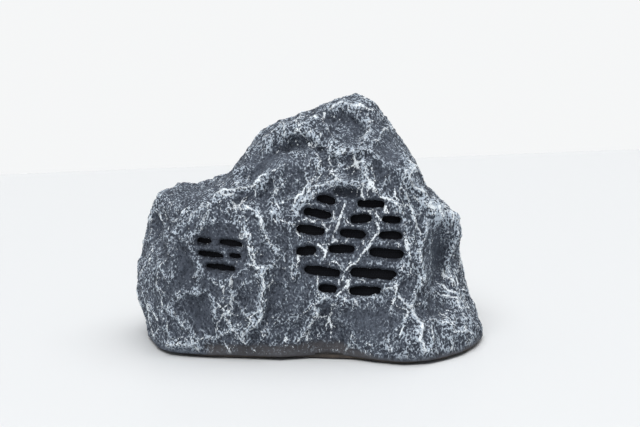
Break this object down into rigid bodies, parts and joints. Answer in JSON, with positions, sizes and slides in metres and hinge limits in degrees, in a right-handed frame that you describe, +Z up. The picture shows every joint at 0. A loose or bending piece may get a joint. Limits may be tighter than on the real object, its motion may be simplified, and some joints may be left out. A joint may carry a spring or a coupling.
{
  "type": "rock-shaped portable speaker",
  "caption": "Faux-rock outdoor speaker: hollow moulded shell with slotted woofer and tweeter grilles in front, rear control panel and a screwed base with battery.",
  "frame": {"origin": "on the floor, under the middle of the rock's bounding box", "axes": "+Z up, +X to the right as seen from the front (towards the woofer's side), -Y out of the grilles, +Y towards the control panel"},
  "size_m": [0.35, 0.2236, 0.245],
  "materials": {
    "rock_paint": "matt textured paint, dry-brushed",
    "base_plastic": "matt",
    "foam": "matt",
    "rubber": "matt",
    "grille_cloth": "open weave",
    "steel_black": "satin",
    "zinc_steel": "zinc plated",
    "ferrite": "matt",
    "cone_paper": "matt",
    "copper_coil": "enamelled copper wire",
    "spider_cloth": "resin-dipped weave",
    "silk_dome": "coated silk",
    "panel_plastic": "fine texture",
    "button_plastic": "satin",
    "light_pipe": "clear, frosted tip",
    "socket_plastic": "moulded",
    "circuit_board": "solder resist",
    "module_can": "tinned can",
    "aluminium": "extruded",
    "cell_wrap": "shrink wrap",
    "webbing": "woven strap",
    "lead_red": "insulated wire"
  },
  "bodies": {
    "rock": {"rock_shell": "rock_paint", "base_plate": "base_plastic", "base_gasket": "foam", "foot_1": "rubber", "foot_2": "rubber", "foot_3": "rubber", "foot_4": "rubber", "base_screw_1": "zinc_steel", "base_screw_2": "zinc_steel", "base_screw_3": "zinc_steel", "base_screw_4": "zinc_steel", "base_screw_5": "zinc_steel", "woofer_cloth": "grille_cloth", "woofer_gasket": "foam", "woofer_basket": "steel_black", "woofer_surround": "rubber", "woofer_spider": "spider_cloth", "woofer_top_plate": "zinc_steel", "woofer_magnet": "ferrite", "woofer_yoke": "zinc_steel", "woofer_screw_1": "zinc_steel", "woofer_screw_2": "zinc_steel", "woofer_screw_3": "zinc_steel", "woofer_screw_4": "zinc_steel", "tweeter_cloth": "grille_cloth", "tweeter_frame": "steel_black", "tweeter_surround": "silk_dome", "tweeter_magnet": "ferrite", "tweeter_screw_1": "zinc_steel", "tweeter_screw_2": "zinc_steel", "control_panel": "panel_plastic", "panel_gasket": "foam", "panel_screw_1": "zinc_steel", "panel_screw_2": "zinc_steel", "panel_screw_3": "zinc_steel", "panel_screw_4": "zinc_steel", "status_light": "light_pipe", "charge_socket": "socket_plastic", "aux_socket": "socket_plastic", "button_board": "circuit_board", "main_board": "circuit_board", "bluetooth_module": "module_can", "amplifier_heatsink": "aluminium", "battery_tray": "base_plastic", "battery_cell_1": "cell_wrap", "battery_cell_2": "cell_wrap", "battery_strap": "webbing", "woofer_lead": "lead_red", "tweeter_lead": "lead_red", "battery_lead": "lead_red", "panel_lead": "lead_red"},
    "woofer_moving": {"woofer_cone": "cone_paper", "woofer_dust_cap": "cone_paper", "woofer_voice_coil": "copper_coil"},
    "tweeter_moving": {"tweeter_dome": "silk_dome"},
    "power": {"power_button": "button_plastic"},
    "play_pair": {"play_pair_button": "button_plastic"},
    "volume_down": {"volume_down_button": "button_plastic"},
    "volume_up": {"volume_up_button": "button_plastic"},
    "port_flap": {"port_cover": "rubber"}
  },
  "joints": [
    {"name": "woofer_excursion", "type": "slide", "parent": "rock", "child": "woofer_moving", "axis": [0, -0.9848, 0.1736], "range_m": [-0.003, 0.003], "stiffness_N_per_m": 1200, "deforming": ["woofer_surround", "woofer_spider"]},
    {"name": "tweeter_excursion", "type": "slide", "parent": "rock", "child": "tweeter_moving", "axis": [-0.1898, -0.9762, 0.1045], "range_m": [-0.0004, 0.0004], "stiffness_N_per_m": 2000, "deforming": ["tweeter_surround"]},
    {"name": "power_press", "type": "slide", "parent": "rock", "child": "power", "axis": [0, -1, 0], "range_m": [0, 0.0008], "stiffness_N_per_m": 800},
    {"name": "play_pair_press", "type": "slide", "parent": "rock", "child": "play_pair", "axis": [0, -1, 0], "range_m": [0, 0.0008], "stiffness_N_per_m": 800},
    {"name": "volume_down_press", "type": "slide", "parent": "rock", "child": "volume_down", "axis": [0, -1, 0], "range_m": [0, 0.0008], "stiffness_N_per_m": 800},
    {"name": "volume_up_press", "type": "slide", "parent": "rock", "child": "volume_up", "axis": [0, -1, 0], "range_m": [0, 0.0008], "stiffness_N_per_m": 800},
    {"name": "port_cover_hinge", "type": "hinge", "parent": "rock", "child": "port_flap", "pos_m": [-0.029, 0.0993, 0.0598], "axis": [1, 0, 0], "range_deg": [0, 110]}
  ]
}
